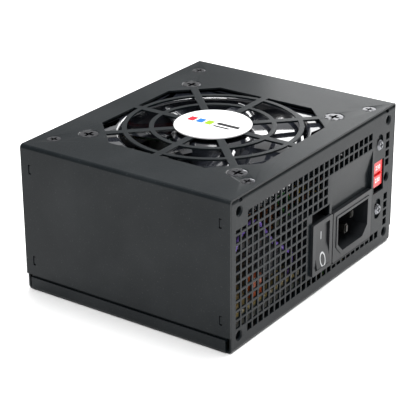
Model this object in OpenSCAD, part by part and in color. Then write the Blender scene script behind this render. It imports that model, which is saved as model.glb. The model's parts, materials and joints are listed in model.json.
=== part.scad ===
// Small-form power supply for a computer: a folded steel case with a stamped fan grille,
// an 80 mm fan, a mains inlet, a rocker switch, a voltage selector and the board inside.
// The origin is at the middle of the underside. +Z is up and -Y is the mains face.

/* [Case] */
// Width of the case across the mains face
case_w = 125; // [125:0.5:127]
// Depth of the case from the mains face to the cable face
case_d = 100; // [100:0.5:102]
// Height of the case
case_h = 63.5; // [63.5:0.1:64.5]
// Thickness of the steel sheet
sheet_t = 0.8; // [0.6:0.1:0.9]
// Outer radius of the folds
bend_r = 1.6; // [1.2:0.1:2]
// Height of the strip that the base folds up at each side
strip_h = 5.7; // [5:0.1:6]
// Open joint between that strip and the cover
seam_gap = 1.3; // [0.8:0.1:1.5]
// Depth of the flanges that the cover lies on
flange_d = 8.5; // [8:0.1:8.5]

/* [Mains face] */
// Distance across between the mounting holes
mount_pitch_x = 113; // [112:0.5:114]
// Distance up between the mounting holes
mount_pitch_z = 51.5; // [51:0.5:52]
// Radius of the number 6-32 mounting holes
mount_r = 1.75; // [1.6:0.05:1.8]
// Side of one square vent
vent_size = 3; // [2.6:0.1:3.1]
// Distance between neighbouring vents
vent_pitch = 3.95; // [3.9:0.01:3.97]

/* [Fan grille] */
// Middle of the fan across the case
fan_x = -2.5; // [-3:0.1:-2]
// Middle of the fan along the case
fan_y = -1.2; // [-1.4:0.1:-1]
// Width of the opening stamped in the cover
grille_w = 78; // [76:1:79]
// Size of the opening's cut-off corners
grille_chamfer = 16; // [15:0.5:17]
// Middle radius of the outer ring
outer_ring_r = 36; // [35:0.5:36.5]
// Middle radius of the inner ring
inner_ring_r = 25; // [24:0.5:26]
// Width of both rings
ring_w = 2; // [1.8:0.1:2.4]
// Width of a spoke
spoke_w = 3.2; // [2.6:0.1:3.6]
// Radius of the round badge in the middle
badge_r = 16; // [15:0.5:17]

/* [Fan] */
// Side of the square fan frame
fan_w = 80; // [80:0.1:80.2]
// Thickness of the fan
fan_t = 15; // [15:0.1:15.2]
// Distance between the fan's screw holes
fan_pitch = 71.5; // [71:0.5:72]
// Radius of the fan frame's bore
fan_bore_r = 38; // [37.8:0.1:38.2]
// Number of blades
blade_count = 7; // [5:1:9]
// Set angle of the blades from flat
blade_angle = 32; // [28:1:36]

/* [Inlet, switch and selector] */
// Middle of the mains inlet across the case
inlet_x = 28; // [27.8:0.1:28.2]
// Height of the mains inlet's middle
inlet_z = 19.6; // [19.4:0.1:19.8]
// Middle of the rocker switch across the case
switch_x = 2.4; // [2.2:0.1:2.6]
// Height of the rocker's pivot
switch_z = 20.6; // [20.4:0.1:20.8]
// Angle that the rocker turns from one side to the other
rocker_throw = 10; // [8:1:12]
// Middle of the voltage selector across the case
selector_x = 49.8; // [49.6:0.1:50]
// Height of the voltage selector's middle
selector_z = 34.1; // [34:0.1:34.3]
// Distance that the selector slides
selector_travel = 2; // [1.5:0.1:2]

/* [Main board] */
// Thickness of the printed board
board_t = 1.6; // [1.2:0.1:1.6]
// Height of the stand-offs under the board
standoff_h = 6; // [5:0.5:6]

/* [Hidden] */
$fn = 64;

// Colours
paint = [0.10, 0.11, 0.12];
steel = [0.72, 0.73, 0.75];
brass = [0.78, 0.62, 0.30];
copper = [0.72, 0.38, 0.20];
black_plastic = [0.07, 0.07, 0.08];
white_plastic = [0.93, 0.93, 0.92];
red_plastic = [0.85, 0.08, 0.06];
board_tan = [0.62, 0.52, 0.28];
tape_yellow = [0.88, 0.76, 0.20];
ferrite = [0.20, 0.20, 0.21];

// Case
clear = 0.1;                                    // gap between nested sheets
panel_h = case_h - sheet_t - clear;             // the base's height under the cover
panel_w = case_w - 2 * (sheet_t + clear);       // the base's width between the cover's sides
front_y = -case_d / 2;                          // outside of the mains face
rear_y = case_d / 2;                            // outside of the cable face
lip_x = case_w / 2 - sheet_t - clear;           // outside of the inner lip and side flanges
lip_top = 12;
cover_z = strip_h + seam_gap;                   // lower edge of the cover
relief_x = 55.5;                                // notches at the ends of the top flanges
relief_w = 2;
corner_cut = 1.3;                               // keeps the panels' corners out of the cover's fold
fold_y = case_d / 2 - 1.8;                      // where the floor meets the folds of the panels
strip_end_y = case_d / 2 - 2.2;                 // ends of the side strips and lips
hook_y = 45.6;
hook_zs = [13.6, 53.6];
hook_w = 1.2;
hook_h = 4;
cover_screw_at = [[-50.3, 42.6], [50.3, 42.6], [-43, -44.7], [49, -44.7]];
cover_screw_r = 1.5;

// Mains face
vent_x0 = -49.3;                                // column 0 of the vents
vent_z0 = 54.3;                                 // row 0 of the vents
mount_x = mount_pitch_x / 2;
mount_z0 = (case_h - mount_pitch_z) / 2;
mount_zs = [mount_z0, mount_z0 + mount_pitch_z];
collar_l = 2.4;                                 // length of the threaded wall
pocket = [10.8, 44.0, 8.0, 48.0];               // left, right, bottom and top of the pocket
pocket_d = 1.6;
pocket_ramp_z = 37.5;                           // where the pocket's slope ends
inlet_hole = [27.2, 19.8];
switch_hole = [13.6, 26];
switch_hole_z = 10.2;
selector_hole = [8.4, 14.2];
slot_depth = 1;
slot_w = 5.2;
slot_spans = [[14.6, 23.8], [46.0, 53.0]];      // low and high ends of the two screw slots
selector_screw_zs = [18.9, 48.3];

// Fan
fan_top = case_h - sheet_t - 1;
fan_bottom = fan_top - fan_t;
fan_flange_t = 2.8;
fan_hub_r = 17;
strut_t = 2.5;
blade_r = fan_bore_r - 0.8;
blade_t = 1.3;
blade_h = 10;
blade_mid_z = fan_bottom + 8.9;
shaft_r = 1.5;

// Rocker switch
bezel = [15.2, 22.8];
bezel_t = 1.2;
rocker_w = 10.1;
rocker_r = 9.15;
rocker_hole = [10.7, 19];
pivot_y = front_y + 1.1;
pivot_r = 1.1;

// Mains inlet
inlet_flange = [31.6, 22.4];
inlet_front = front_y - 0.3;
inlet_back = -31.8;
socket = [24.6, 15.9];
socket_d = 17;
socket_bevel = 4.1;
blade_spacing = 7;

// Voltage selector
slider_gap = 0.4;                               // between the slider's ends and its opening
slider = [7.6, selector_hole[1] - selector_travel - 2 * slider_gap];
slider_top = selector_z + selector_hole[1] / 2 - slider_gap;

// Main board
board = [117, 88];
board_mid_y = 2;
board_z = sheet_t + standoff_h;
board_top = board_z + board_t;
standoff_at = [[-54, -38], [54, -38], [-54, 42], [54, 42]];
part_z = board_top + 0.2;                       // seat of the parts on the board

// Cable outlet
outlet_x = -38;
outlet_z = 30;
outlet_r = 12;
outlet_bore_r = 9.5;

// ---- Shared shapes -------------------------------------------------------------------

// A rectangle with round corners, centred on x and standing on y = 0
module round_rect(w, h, r) {
    translate([-w / 2 + r, 0]) square([w - 2 * r, h]);
    translate([-w / 2, r]) square([w, h - 2 * r]);
    for (x = [-w / 2 + r, w / 2 - r], y = [r, h - r]) translate([x, y]) circle(r);
}

// A flat outline extruded along X, with the outline's x along Y and its y along Z
module along_x(x0, x1) {
    translate([x0, 0, 0]) rotate([90, 0, 90]) linear_extrude(x1 - x0) children();
}

// A flat outline seen from the mains side, extruded inwards from y0 to y1
module along_y(y0, y1) {
    translate([0, y1, 0]) rotate([90, 0, 0]) linear_extrude(y1 - y0) children();
}

// A cylinder along Y from y0 to y1
module rod_y(x, z, r, y0, y1) {
    translate([x, y1, z]) rotate([90, 0, 0]) cylinder(h = y1 - y0, r = r);
}

// A cylinder along X from x0 to x1
module rod_x(y, z, r, x0, x1) {
    translate([x0, y, z]) rotate([0, 90, 0]) cylinder(h = x1 - x0, r = r);
}

// A box given by its low and high corners
module block(low, high) {
    translate(low) cube(high - low);
}

// The cross recess of a screw, cut down from z = 0
module cross_recess(size, depth) {
    for (a = [0, 90]) rotate(a) translate([-size / 2, -size / 8, -depth]) cube([size, size / 4, depth + 1]);
}

// A countersunk screw with its head's top at z = 0, pointing down
module flat_screw(head_r, head_h, shank_r, length) {
    difference() {
        union() {
            translate([0, 0, -head_h]) cylinder(h = head_h, r1 = shank_r, r2 = head_r);
            translate([0, 0, -length]) cylinder(h = length - head_h, r = shank_r);
        }
        cross_recess(head_r * 1.2, 0.8);
    }
}

// A pan-head screw with its head's underside at z = 0, pointing down
module pan_screw(head_r, head_h, shank_r, length) {
    difference() {
        union() {
            cylinder(h = head_h * 0.6, r = head_r);
            translate([0, 0, head_h * 0.6]) cylinder(h = head_h * 0.4, r1 = head_r, r2 = head_r * 0.7);
            translate([0, 0, -length]) cylinder(h = length, r = shank_r);
        }
        translate([0, 0, head_h]) cross_recess(head_r * 1.1, head_h * 0.6);
    }
}

// Direction from point a to point b
function towards(a, b) = (b - a) / norm(b - a);

// Direction of a route at its point i, halfway between the stretches that meet there
function heading(points, i) =
    i == 0 ? towards(points[0], points[1])
    : i == len(points) - 1 ? towards(points[i - 1], points[i])
    : towards([0, 0, 0], towards(points[i - 1], points[i]) + towards(points[i], points[i + 1]));

// A direction square to d, kept as near to the last one as it can be
function square_to(d, last) = towards([0, 0, 0], last - (last * d) * d);

// The side directions along a route, carried from one point to the next
function sides(points, last, i = 0) =
    i == len(points) ? []
    : let (s = square_to(heading(points, i), last)) concat([s], sides(points, s, i + 1));

// An insulated wire through the given points
module wire(points, r, facets = 10) {
    side = sides(points, [0.31, 0.83, 0.47]);
    ring = [for (i = [0 : len(points) - 1], k = [0 : facets - 1])
        points[i] + r * (cos(k * 360 / facets) * side[i]
            + sin(k * 360 / facets) * cross(heading(points, i), side[i]))];
    last = (len(points) - 1) * facets;
    walls = [for (i = [0 : len(points) - 2], k = [0 : facets - 1])
        [i * facets + k, (i + 1) * facets + k,
            (i + 1) * facets + (k + 1) % facets, i * facets + (k + 1) % facets]];
    ends = [[for (k = [0 : facets - 1]) k], [for (k = [facets - 1 : -1 : 0]) last + k]];
    polyhedron(ring, concat(walls, ends));
}

// A wound part: ring core lying flat, standing on z = 0
module ring_core(outer_r, inner_r, h) {
    difference() {
        cylinder(h = h, r = outer_r);
        translate([0, 0, -1]) cylinder(h = h + 2, r = inner_r);
    }
}

// A capacitor can standing on z = 0 with a rolled groove and a recessed vent in its top
module can_capacitor(r, h) {
    difference() {
        cylinder(h = h, r = r);
        translate([0, 0, 1.8]) ring_core(r + 1, r - 0.5, 0.9);
        translate([0, 0, h - 0.4]) cylinder(h = 1, r = r - 0.9);
    }
    for (x = [-r / 2, r / 2]) translate([x, 0, board_top - part_z]) cylinder(h = 1, r = 0.4, $fn = 24);
}

// A three-legged power device standing on its legs, with its tab towards -X at x = 0
module power_device() {
    difference() {
        union() {
            block([0, -5, 4], [1.3, 5, 19.5]);
            block([0, -5, 4], [4.5, 5, 13]);
        }
        rod_x(0, 16.5, 1.8, -1, 6);
    }
    for (y = [-2.54, 0, 2.54]) block([2.2, y - 0.4, board_top - part_z], [2.8, y + 0.4, 4.5]);
}

// ---- Case ------------------------------------------------------------------------------

// Floor, end panels and top flanges of the base, bent from one sheet
module base_fold() {
    difference() {
        round_rect(case_d, panel_h, bend_r);
        translate([0, sheet_t])
            round_rect(case_d - 2 * sheet_t, panel_h - 2 * sheet_t, bend_r - sheet_t);
        translate([front_y + flange_d, panel_h / 2]) square([case_d - 2 * flange_d - 1.2, panel_h]);
    }
}

// Floor, side strips and the inner lips behind the cover's lower edge
module side_fold() {
    difference() {
        round_rect(case_w, 3 * strip_h, bend_r);
        translate([0, sheet_t]) round_rect(case_w - 2 * sheet_t, 3 * strip_h, bend_r - sheet_t);
        translate([-case_w, strip_h]) square([2 * case_w, 3 * strip_h]);
    }
    for (s = [-1, 1]) {
        translate([s * (lip_x - sheet_t / 2) - sheet_t / 2, strip_h - sheet_t])
            square([sheet_t, lip_top - strip_h + sheet_t]);
        translate([s * (case_w / 2 - sheet_t) - sheet_t, strip_h - sheet_t])
            square([2 * sheet_t, sheet_t]);
    }
}

// One column and row of the vent field
module vent(column, row, h = vent_size, dz = 0) {
    translate([vent_x0 + vent_pitch * column, vent_z0 - vent_pitch * row + dz])
        square([vent_size, h], center = true);
}

// All the vents, as seen from the mains side
module vent_field() {
    for (i = [0 : 23]) {
        vent(i, 0);
        vent(i, 1);
    }
    for (i = [-2, -1]) vent(i, 1, vent_size / 2, -vent_size / 4);
    for (i = [-2 : 14], j = [2 : 4]) vent(i, j);
    for (i = [-2 : 10], j = [5 : 11]) vent(i, j);
    for (i = [0 : 15]) vent(i, 12);
    for (i = [16 : 23]) vent(i, 12, vent_size / 2, -vent_size / 8);
    for (i = [24, 25]) vent(i, 12);
    for (j = [1, 2, 3, 4, 8, 9, 10, 11]) translate([mount_x - vent_x0, 0]) vent(0, j);
}

// The inlet's pocket: its hollow, or its outside when grown by one sheet
module pocket_shape(grow) {
    along_x(pocket[0] - grow, pocket[1] + grow)
        polygon([
            [front_y - 1 + grow, pocket[2] - grow],
            [front_y + pocket_d + grow, pocket[2] - grow],
            [front_y + pocket_d + grow, pocket_ramp_z],
            [front_y + grow, pocket[3] + grow],
            [front_y - 1 + grow, pocket[3] + grow]
        ]);
}

// An upright slot with round ends
module obround(x, z0, z1, w) {
    translate([x - w / 2, z0 + w / 2]) square([w, z1 - z0 - w]);
    for (z = [z0 + w / 2, z1 - w / 2]) translate([x, z]) circle(w / 2);
}

// Every mounting hole's place on the mains face
module at_mounts() {
    for (x = [-mount_x, mount_x], z = mount_zs) translate([x, 0, z]) children();
    translate([mount_x, 0, case_h / 2]) children();
}

// Side flanges of the end panels, with the hooks that catch the cover
module side_flanges() {
    for (sx = [-1, 1], sy = [-1, 1]) mirror([sx < 0 ? 1 : 0, 0, 0]) mirror([0, sy < 0 ? 1 : 0, 0]) {
        block([lip_x - sheet_t, rear_y - flange_d, lip_top - 2], [lip_x, rear_y - sheet_t / 2, panel_h - 4]);
        for (z = hook_zs)
            block([lip_x - sheet_t, hook_y - 0.45, z - 1.5], [case_w / 2 - 0.3, hook_y + 0.45, z + 1.5]);
    }
}

// The whole folded base: floor, strips, mains panel and cable panel
module base_sheet() {
    difference() {
        union() {
            along_x(-panel_w / 2, panel_w / 2) base_fold();
            along_y(-strip_end_y, strip_end_y) side_fold();
            side_flanges();
            intersection() {
                pocket_shape(sheet_t);
                block([0, front_y, 0], [case_w / 2, 0, panel_h]);
            }
            for (i = [0, 1])
                along_y(front_y, front_y + slot_depth + sheet_t)
                    obround(selector_x, slot_spans[i][0] - sheet_t, slot_spans[i][1] + sheet_t,
                        slot_w + 2 * sheet_t);
            at_mounts() rod_y(0, 0, mount_r + 0.85, front_y, front_y + collar_l);
        }
        pocket_shape(0);
        along_y(front_y - 1, front_y + 1.2) vent_field();
        // bores, countersinks and slots of the mains face
        at_mounts() {
            rod_y(0, 0, mount_r, front_y - 1, front_y + 5);
            translate([0, front_y - 0.01, 0]) rotate([-90, 0, 0]) cylinder(h = 0.5, r1 = mount_r + 0.5, r2 = mount_r);
        }
        for (i = [0, 1]) {
            along_y(front_y - 1, front_y + slot_depth)
                obround(selector_x, slot_spans[i][0], slot_spans[i][1], slot_w);
            rod_y(selector_x, selector_screw_zs[i], 1.6, front_y - 1, front_y + 4);
        }
        block([inlet_x - inlet_hole[0] / 2, front_y - 1, inlet_z - inlet_hole[1] / 2],
            [inlet_x + inlet_hole[0] / 2, front_y + 4, inlet_z + inlet_hole[1] / 2]);
        block([switch_x - switch_hole[0] / 2, front_y - 1, switch_hole_z],
            [switch_x + switch_hole[0] / 2, front_y + 1.2, switch_hole_z + switch_hole[1]]);
        block([selector_x - selector_hole[0] / 2, front_y - 1, selector_z - selector_hole[1] / 2],
            [selector_x + selector_hole[0] / 2, front_y + 1.2, selector_z + selector_hole[1] / 2]);
        // cable outlet, stand-off holes, cover screws and flange notches
        rod_y(outlet_x, outlet_z, outlet_r, rear_y - 3, rear_y + 1);
        for (p = standoff_at) translate([p[0], p[1], -1]) cylinder(h = 3, r = 1.6);
        for (p = cover_screw_at) translate([p[0], p[1], panel_h - 3]) cylinder(h = 4, r = cover_screw_r + 0.05);
        for (s = [-1, 1]) {
            translate([s * relief_x - relief_w / 2, -case_d, panel_h - 1.6]) cube([relief_w, 2 * case_d, 4]);
            translate([s * panel_w / 2, 0, panel_h]) rotate([0, 45, 0])
                cube([corner_cut, 3 * case_d, corner_cut], center = true);
        }
    }
}

// Where the base's floor, strips and lips are, up to the folds of its two panels
module floor_region() {
    block([-case_w, -fold_y, -1], [case_w, fold_y, sheet_t + 0.2]);
    for (s = [-1, 1]) translate([s * case_w / 2, 0, 0])
        block([-2.1, -strip_end_y, -1], [2.1, strip_end_y, lip_top]);
}

module base_tray() {
    color(paint) intersection() {
        base_sheet();
        floor_region();
    }
}

module mains_panel() {
    color(paint) difference() {
        base_sheet();
        floor_region();
        block([-case_w, 0, -1], [case_w, case_d, case_h]);
    }
}

module cable_panel() {
    color(paint) difference() {
        base_sheet();
        floor_region();
        block([-case_w, -case_d, -1], [case_w, 0, case_h]);
    }
}

// Gaps of the stamped grille, centred on the fan
module grille_gaps() {
    half = grille_w / 2;
    cut = half - grille_chamfer;
    difference() {
        polygon([[half, -cut], [half, cut], [cut, half], [-cut, half],
            [-half, cut], [-half, -cut], [-cut, -half], [cut, -half]]);
        for (r = [outer_ring_r, inner_ring_r]) difference() {
            circle(r + ring_w / 2);
            circle(r - ring_w / 2);
        }
        for (a = [0 : 45 : 135]) rotate(a) square([2 * grille_w, spoke_w], center = true);
        circle(badge_r - 1);
    }
}

// Where the fan's four screws are
module at_fan_screws() {
    for (x = [-1, 1], y = [-1, 1])
        translate([fan_x + x * fan_pitch / 2, fan_y + y * fan_pitch / 2, 0]) children();
}

module top_cover() {
    color(paint) difference() {
        union() {
            along_y(front_y, rear_y) difference() {
                round_rect(case_w, case_h, bend_r);
                round_rect(case_w - 2 * sheet_t, case_h - sheet_t, bend_r - sheet_t);
                translate([-case_w, -1]) square([2 * case_w, cover_z + 1]);
            }
            at_fan_screws() translate([0, 0, fan_top + 0.05]) cylinder(h = 1.2, r1 = 3.2, r2 = 5);
        }
        translate([fan_x, fan_y, case_h - 2]) linear_extrude(3) grille_gaps();
        at_fan_screws() {
            translate([0, 0, case_h - 1.3]) cylinder(h = 1.31, r1 = 2.3, r2 = 4.4);
            translate([0, 0, case_h - 3]) cylinder(h = 4, r = 2.3);
        }
        for (p = cover_screw_at) translate([p[0], p[1], 0]) {
            translate([0, 0, case_h - sheet_t - 0.01]) cylinder(h = 2, r = 1.7);
            translate([0, 0, case_h - 0.7]) cylinder(h = 0.71, r1 = 1.7, r2 = 3.2);
        }
        for (s = [-1, 1], y = [-hook_y, hook_y], z = hook_zs)
            translate([s * (case_w / 2 - sheet_t / 2), y, z]) cube([2, hook_w, hook_h], center = true);
    }
}

module cover_screws() {
    color(steel) for (p = cover_screw_at) translate([p[0], p[1], case_h - 0.1])
        flat_screw(2.8, 0.6, cover_screw_r - 0.02, 5);
}

module grille_badge() {
    color(white_plastic) translate([fan_x, fan_y, case_h]) {
        cylinder(h = 0.5, r = badge_r);
        translate([0, 0, 0.5]) cylinder(h = 0.2, r1 = badge_r, r2 = badge_r - 0.3);
    }
}

// ---- Fan -------------------------------------------------------------------------------

// The fan frame's flange, with its bore and screw holes
module fan_flange() {
    difference() {
        translate([0, -fan_w / 2]) round_rect(fan_w, fan_w, 4);
        circle(fan_bore_r);
        for (x = [-1, 1], y = [-1, 1]) translate([x, y] * fan_pitch / 2) circle(2.15);
    }
}

// A flat ring
module ring(outer_r, inner_r) {
    difference() {
        circle(outer_r);
        circle(inner_r);
    }
}

module fan_frame() {
    color(black_plastic) translate([fan_x, fan_y, fan_bottom]) {
        linear_extrude(strut_t) difference() {
            union() {
                fan_flange();
                circle(16);
                for (a = [20 : 90 : 290]) rotate(a) translate([10, -2]) square([fan_bore_r - 9.4, 4]);
            }
            circle(2.6);
        }
        translate([0, 0, strut_t]) linear_extrude(fan_flange_t - strut_t) fan_flange();
        translate([0, 0, fan_flange_t]) linear_extrude(fan_t - 2 * fan_flange_t)
            ring(fan_bore_r + 1.4, fan_bore_r);
        translate([0, 0, fan_t - fan_flange_t]) linear_extrude(fan_flange_t) fan_flange();
        translate([0, 0, strut_t]) linear_extrude(10 - strut_t) ring(4.2, 2.6);
    }
}

// One blade: an arched section extruded outwards, pitched and trimmed to the bore
module fan_blade() {
    intersection() {
        translate([fan_hub_r - 1, 0, 0]) rotate([blade_angle, 0, 0]) rotate([0, 90, 0])
            linear_extrude(blade_r)
                intersection() {
                    difference() {
                        translate([26, 0]) circle(26 + blade_t / 2, $fn = 128);
                        translate([26, 0]) circle(26 - blade_t / 2, $fn = 128);
                    }
                    square([22, 23], center = true);
                }
        translate([0, 0, -blade_h / 2]) difference() {
            cylinder(h = blade_h, r = blade_r);
            translate([0, 0, -1]) cylinder(h = blade_h + 2, r = fan_hub_r - 0.6);
        }
    }
}

module fan_impeller() {
    color(black_plastic) translate([fan_x, fan_y, 0]) {
        for (i = [0 : blade_count - 1]) translate([0, 0, blade_mid_z]) rotate(i * 360 / blade_count) fan_blade();
        difference() {
            union() {
                translate([0, 0, fan_bottom + 3.3]) cylinder(h = 10.2, r = fan_hub_r);
                translate([0, 0, fan_bottom + 13.5]) cylinder(h = 1, r1 = fan_hub_r, r2 = fan_hub_r - 1);
            }
            translate([0, 0, fan_bottom]) cylinder(h = 13.3, r = 15.4);
        }
        difference() {
            translate([0, 0, fan_bottom + 11.4]) cylinder(h = 2.5, r = 3.6);
            translate([0, 0, fan_bottom + 10]) cylinder(h = 4, r = shaft_r + 0.01);
        }
    }
}

module rotor_yoke() {
    color(steel) translate([fan_x, fan_y, fan_bottom + 3.9]) difference() {
        cylinder(h = 9.3, r = 15.35);
        translate([0, 0, -1]) cylinder(h = 9.5, r = 14.6);
        cylinder(h = 12, r = 3.7);
    }
}

module rotor_magnet() {
    color([0.16, 0.15, 0.15]) translate([fan_x, fan_y, fan_bottom + 4.3]) ring_core(14.55, 12.9, 7.5);
}

module fan_shaft() {
    color(steel) translate([fan_x, fan_y, fan_bottom + 1.2]) cylinder(h = 12.05, r = shaft_r);
}

module fan_bearing() {
    color(brass) translate([fan_x, fan_y, fan_bottom + 1.9]) ring_core(2.58, shaft_r + 0.04, 8.1);
}

// The stator's four poles, seen from above
module stator_outline() {
    difference() {
        union() {
            circle(6.2);
            for (a = [0 : 90 : 270]) rotate(a) {
                translate([4.5, -1.6]) square([7, 3.2]);
                intersection() {
                    difference() {
                        circle(12.4);
                        circle(11);
                    }
                    translate([5, -7]) square([10, 14]);
                }
            }
        }
        circle(4.3);
    }
}

module fan_stator() {
    color([0.55, 0.56, 0.58]) translate([fan_x, fan_y, fan_bottom + 5.5]) linear_extrude(4) stator_outline();
}

module fan_coils() {
    color(copper) translate([fan_x, fan_y, fan_bottom + 4.6]) for (a = [0 : 90 : 270]) rotate(a)
        difference() {
            block([6.6, -3.1, 0], [10.4, 3.1, 5.8]);
            block([6, -1.65, 0.85], [12, 1.65, 4.95]);
        }
}

module fan_board() {
    color([0.1, 0.35, 0.2]) translate([fan_x, fan_y, fan_bottom + strut_t + 0.1]) ring_core(13, 4.3, 0.8);
}

module fan_screws() {
    color(steel) at_fan_screws() translate([0, 0, case_h - 0.15]) flat_screw(3.9, 1.15, 2.1, 11);
}

// ---- Mains inlet -----------------------------------------------------------------------

// The three-pole inlet's opening, with its two bevelled corners below
module socket_outline(grow = 0) {
    w = socket[0] / 2 + grow;
    h = socket[1] / 2 + grow;
    translate([inlet_x, inlet_z])
        polygon([[-w, h], [w, h], [w, socket_bevel - h], [w - socket_bevel, -h],
            [socket_bevel - w, -h], [-w, socket_bevel - h]]);
}

// Places of the three blades, live and neutral above and earth below
blade_at = [[-blade_spacing, 2, 4], [0, -2, 2.5], [blade_spacing, 2, 4]];

module inlet_housing() {
    color(black_plastic) difference() {
        union() {
            along_y(inlet_front, front_y + pocket_d - 0.05)
                translate([inlet_x, inlet_z - inlet_flange[1] / 2])
                    round_rect(inlet_flange[0], inlet_flange[1], 0.8);
            block([inlet_x - 13.5, front_y + 1, inlet_z - 9.8], [inlet_x + 13.5, inlet_back, inlet_z + 9.8]);
            along_y(inlet_front - 0.3, inlet_front + 0.5) socket_outline(1.1);
        }
        along_y(inlet_front - 1, inlet_front + socket_d) socket_outline();
        for (p = blade_at) block([inlet_x + p[0] - 1.05, -36, inlet_z + p[1] - 2.05],
            [inlet_x + p[0] + 1.05, -30, inlet_z + p[1] + 2.05]);
    }
}

module inlet_blades() {
    color(steel) for (p = blade_at) translate([inlet_x + p[0], 0, inlet_z + p[1]]) {
        block([-1, inlet_front + p[2] + 0.6, -2], [1, inlet_back + 0.5, 2]);
        block([-0.7, inlet_front + p[2], -1.5], [0.7, inlet_front + p[2] + 0.6, 1.5]);
        difference() {
            block([-0.4, inlet_back, -2], [0.4, -25, 2]);
            rod_x(-27, 0, 0.8, -1, 1);
        }
    }
}

// ---- Rocker switch -----------------------------------------------------------------------

module switch_housing() {
    color(black_plastic) difference() {
        union() {
            along_y(front_y - bezel_t, front_y) translate([switch_x, switch_z - bezel[1] / 2])
                round_rect(bezel[0], bezel[1], 0.8);
            block([switch_x - 6.6, front_y - 0.2, switch_z - 10.2], [switch_x + 6.6, -36, switch_z + 10.2]);
        }
        block([switch_x - rocker_hole[0] / 2, front_y - 2, switch_z - rocker_hole[1] / 2],
            [switch_x + rocker_hole[0] / 2, front_y + 4.8, switch_z + rocker_hole[1] / 2]);
        rod_x(pivot_y, switch_z, pivot_r + 0.05, switch_x - 6.1, switch_x + 6.1);
        // seats of the two terminals
        for (z = [-5, 5]) block([switch_x - 3.05, -38, switch_z + z - 0.45], [switch_x + 3.05, -35, switch_z + z + 0.45]);
    }
}

// Side view of the rocker about its pivot, before it is tipped to one side
module rocker_outline() {
    intersection() {
        circle(rocker_r, $fn = 128);
        polygon([
            [-1.4, 0],
            [-1.4 - 10 * tan(rocker_throw / 2), 10],
            [1.6, 10],
            [1.6, -10],
            [-1.4 - 10 * tan(rocker_throw / 2), -10]
        ]);
    }
}

module switch_rocker() {
    color(black_plastic) {
        translate([switch_x, pivot_y, switch_z]) rotate([-rocker_throw / 2, 0, 0])
            along_x(-rocker_w / 2, rocker_w / 2) rocker_outline();
        rod_x(pivot_y, switch_z, pivot_r, switch_x - 6, switch_x + 6);
    }
}

module switch_terminals() {
    color(brass) for (z = [-5, 5]) difference() {
        block([switch_x - 3, -37.8, switch_z + z - 0.4], [switch_x + 3, -29, switch_z + z + 0.4]);
        translate([switch_x, -31.5, switch_z + z - 1]) cylinder(h = 2, r = 0.9);
    }
}

// ---- Voltage selector ---------------------------------------------------------------------

module selector_housing() {
    color(black_plastic) difference() {
        union() {
            block([selector_x - 4, front_y + 1.9, selector_screw_zs[0] - 3.5],
                [selector_x + 4, front_y + 3.2, selector_screw_zs[1] + 3.5]);
            block([selector_x - 6, front_y + 3.1, selector_z - 10], [selector_x + 6, -38, selector_z + 10]);
        }
        block([selector_x - selector_hole[0] / 2, front_y, selector_z - selector_hole[1] / 2],
            [selector_x + selector_hole[0] / 2, front_y + 7.6, selector_z + selector_hole[1] / 2]);
        for (z = selector_screw_zs) rod_y(selector_x, z, 1.35, front_y, front_y + 5);
        for (x = [-3, 3], z = [-6, 0, 6]) block([selector_x + x - 0.45, -39.5, selector_z + z - 0.65],
            [selector_x + x + 0.45, -37, selector_z + z + 0.65]);
    }
}

module selector_slider() {
    color(red_plastic) difference() {
        block([selector_x - slider[0] / 2, front_y + 0.6, slider_top - slider[1]],
            [selector_x + slider[0] / 2, front_y + 7.2, slider_top]);
        block([selector_x - slider[0] / 2 + 1, front_y, slider_top - slider[1] / 2 - 0.7],
            [selector_x + slider[0] / 2 - 1, front_y + 1.6, slider_top - slider[1] / 2 + 0.7]);
    }
}

module selector_screws() {
    color(steel) for (z = selector_screw_zs) translate([selector_x, front_y + slot_depth - 0.02, z])
        rotate([90, 0, 0]) pan_screw(2.3, 1.7, 1.3, 4.2);
}

module selector_terminals() {
    color(brass) for (x = [-3, 3], z = [-6, 0, 6])
        block([selector_x + x - 0.4, -39.4, selector_z + z - 0.6], [selector_x + x + 0.4, -34, selector_z + z + 0.6]);
}

// ---- Main board ---------------------------------------------------------------------------

module insulation_sheet() {
    color([0.88, 0.88, 0.82]) difference() {
        translate([-board[0] / 2, board_mid_y - board[1] / 2, sheet_t + 0.05]) cube([board[0], board[1], 0.3]);
        for (p = standoff_at) translate([p[0], p[1], 0]) cylinder(h = 3, r = 3.6);
    }
}

module main_board() {
    color(board_tan) difference() {
        translate([-board[0] / 2, board_mid_y - board[1] / 2, board_z]) cube([board[0], board[1], board_t]);
        for (p = standoff_at) translate([p[0], p[1], 0]) cylinder(h = 20, r = 1.7);
    }
}

module board_standoffs() {
    color(brass) for (p = standoff_at) translate([p[0], p[1], sheet_t]) difference() {
        union() {
            cylinder(h = standoff_h, r = 3.2, $fn = 6);
            translate([0, 0, 0.1 - sheet_t]) cylinder(h = sheet_t, r = 1.55);
        }
        translate([0, 0, 1]) cylinder(h = standoff_h, r = 1.5);
    }
}

module board_screws() {
    color(steel) for (p = standoff_at) translate([p[0], p[1], board_top]) pan_screw(2.9, 2, 1.45, 6);
}

module fuse() {
    color([0.85, 0.92, 0.92, 0.5]) translate([55, -36, part_z + 4.4]) rotate([-90, 0, 0]) cylinder(h = 20, r = 2.6);
}

module fuse_clips() {
    color(steel) for (y = [-35, -20]) difference() {
        block([51.8, y, part_z], [58.2, y + 3, part_z + 6]);
        rod_y(55, part_z + 4.4, 2.62, y - 1, y + 4);
        block([53.6, y - 1, part_z + 4.4], [56.4, y + 4, part_z + 8]);
    }
}

module surge_thermistor() {
    color([0.12, 0.28, 0.16]) translate([46.8, -29, part_z + 6.5]) rotate([90, 0, 0]) cylinder(h = 3.4, r = 4.8);
    color(steel) for (x = [44.3, 49.3]) translate([x, -30.7, board_top]) cylinder(h = 4, r = 0.4, $fn = 24);
}

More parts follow.
